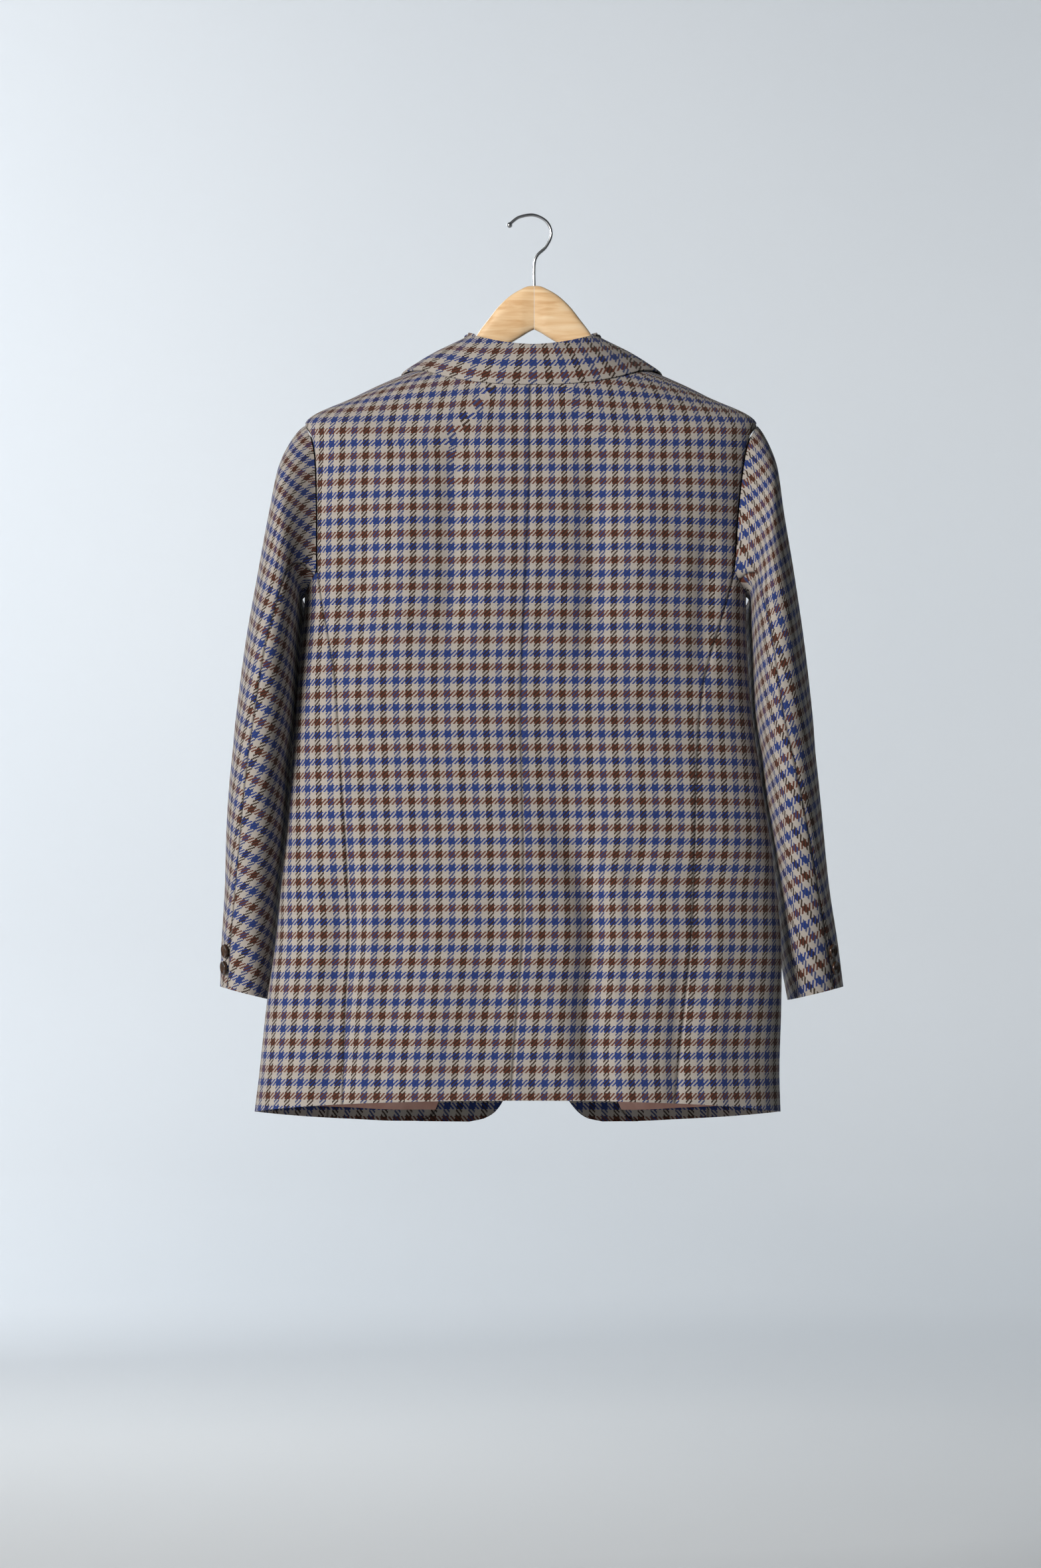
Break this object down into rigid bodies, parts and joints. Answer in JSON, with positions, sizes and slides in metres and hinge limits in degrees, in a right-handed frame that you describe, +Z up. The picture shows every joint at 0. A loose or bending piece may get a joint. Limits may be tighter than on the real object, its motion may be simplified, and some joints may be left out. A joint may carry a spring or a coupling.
{
  "type": "tweed hacking jacket on a wooden hanger",
  "caption": "single-breasted check tweed jacket hanging buttoned on a wooden hanger with a wire hook, seen whole, with open neck, cuffs and hem",
  "frame": {"origin": "inside top of the hanger's hook, where the hanger is held", "axes": "+Z up along the jacket's length, front faces -Y, wearer's left is +X"},
  "size_m": [0.6409, 0.2005, 0.9302],
  "materials": {
    "tweed": "woolly gun-club check twill",
    "satin": "satin",
    "horn": "polished horn look",
    "wood": "varnished pale beech",
    "wire": "bright plated"
  },
  "bodies": {
    "root": {"back_left": "tweed", "back_right": "tweed", "button_cuff_left_1": "horn", "button_cuff_left_2": "horn", "button_cuff_right_1": "horn", "button_cuff_right_2": "horn", "button_front_1": "horn", "button_front_2": "horn", "button_front_3": "horn", "collar": "tweed", "facing_left": "tweed", "facing_right": "tweed", "front_left": "tweed", "front_right": "tweed", "hanger_arm_left": "wood", "hanger_arm_right": "wood", "hanger_hook": "wire", "lapel_left": "tweed", "lapel_right": "tweed", "lining_left": "satin", "lining_right": "satin", "pocket_flap_left": "tweed", "pocket_flap_right": "tweed", "side_left": "tweed", "side_right": "tweed", "sleeve_top_left": "tweed", "sleeve_top_right": "tweed", "sleeve_under_left": "tweed", "sleeve_under_right": "tweed"}
  },
  "joints": []
}
